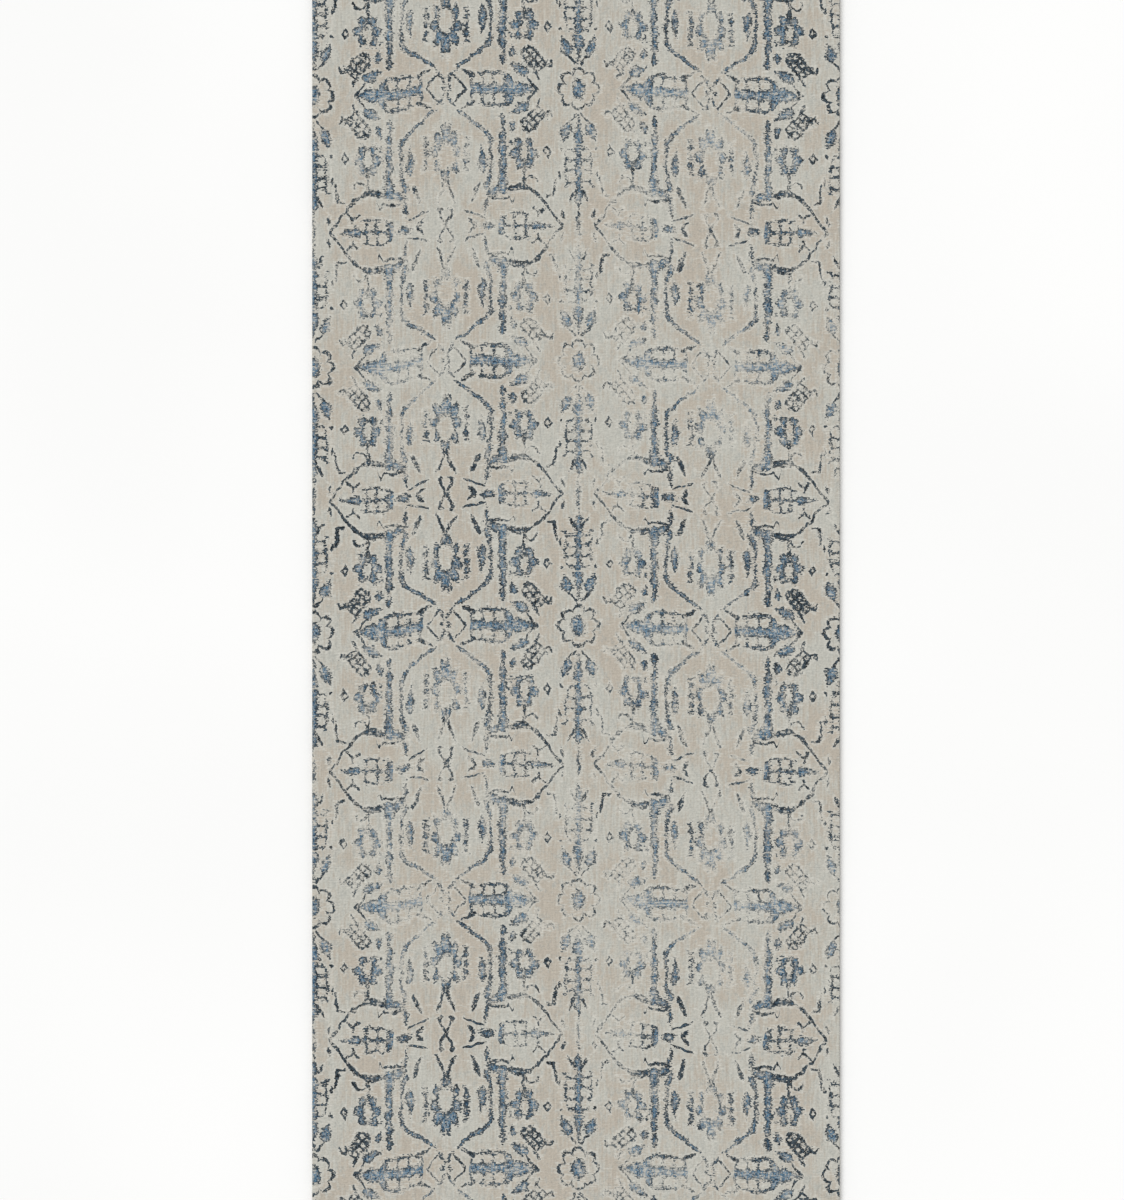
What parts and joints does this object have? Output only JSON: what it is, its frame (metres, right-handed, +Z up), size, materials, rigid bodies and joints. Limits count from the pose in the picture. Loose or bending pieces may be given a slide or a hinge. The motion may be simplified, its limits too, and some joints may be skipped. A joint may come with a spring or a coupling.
{
  "type": "runner rug",
  "caption": "Long narrow low-pile rug with a worn floral ogee design, overcast long sides and tape-bound ends.",
  "frame": {"origin": "middle of the underside, on the floor", "axes": "+Z up, +Y along the rug from foot to head, +X to the right"},
  "size_m": [0.79, 2.44, 0.009],
  "materials": {
    "pile": "low cut pile, matte, taupe and cream with worn blue design",
    "foundation": "plain woven warp and weft, matte",
    "latex": "dried latex coat, dull",
    "backing": "open jute-coloured weave, matte",
    "label": "plain satin tape, unprinted",
    "cord": "twisted cord, matte",
    "serging": "wrapped yarn, matte",
    "tape": "woven twill tape, matte",
    "thread": "twisted sewing thread, slight sheen"
  },
  "bodies": {
    "root": {"pile": "pile", "ground_weave": "foundation", "latex_coat": "latex", "backing_cloth": "backing", "care_label": "label", "left_edge_cord": "cord", "right_edge_cord": "cord", "left_serging": "serging", "right_serging": "serging", "head_binding": "tape", "foot_binding": "tape", "head_needle_thread": "thread", "head_bobbin_thread": "thread", "foot_needle_thread": "thread", "foot_bobbin_thread": "thread"}
  },
  "joints": []
}
